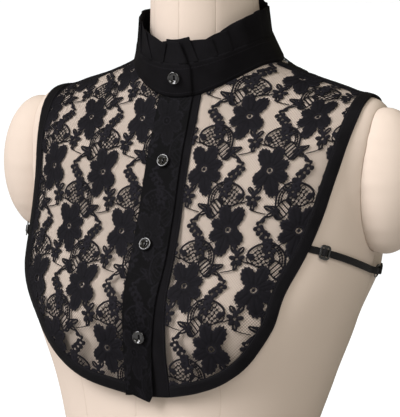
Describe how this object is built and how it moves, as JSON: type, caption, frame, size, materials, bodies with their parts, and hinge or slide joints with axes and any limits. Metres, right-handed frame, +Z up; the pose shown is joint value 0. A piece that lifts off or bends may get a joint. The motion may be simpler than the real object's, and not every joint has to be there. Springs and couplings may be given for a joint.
{
  "type": "detachable lace bib collar worn on a limbless dress form",
  "caption": "Black lace bib collar with a pleated stand-up neck, buttoned placket, bound edges and elastic side straps, on a limbless cloth-covered dress form.",
  "frame": {"origin": "middle of the dress form's flat base, on the surface it stands on", "axes": "+Z up; the wearer faces -Y; +X is the wearer's left"},
  "size_m": [0.43, 0.2482, 0.545],
  "materials": {
    "form_cloth": "matte woven jersey",
    "lace": "black floral lace on net",
    "solid_cloth": "matte black weave",
    "button": "polished black",
    "elastic": "ribbed black elastic",
    "strap_fitting": "satin black"
  },
  "bodies": {
    "root": {"form_torso": "form_cloth", "form_cap_left": "form_cloth", "form_cap_right": "form_cloth", "front_panel_right": "lace", "front_panel_left": "lace", "back_panel": "lace", "placket": "lace", "binding_front_right": "solid_cloth", "binding_front_left": "solid_cloth", "binding_back": "solid_cloth", "shoulder_seam_left": "solid_cloth", "shoulder_seam_right": "solid_cloth", "under_placket": "solid_cloth", "collar_band": "solid_cloth", "collar_ruffle": "solid_cloth", "button_1": "button", "button_2": "button", "button_3": "button", "button_4": "button", "strap_front_left": "elastic", "strap_back_left": "elastic", "strap_front_right": "elastic", "strap_back_right": "elastic", "slider_left": "strap_fitting", "slider_right": "strap_fitting", "ring_left": "strap_fitting", "ring_right": "strap_fitting"}
  },
  "joints": []
}
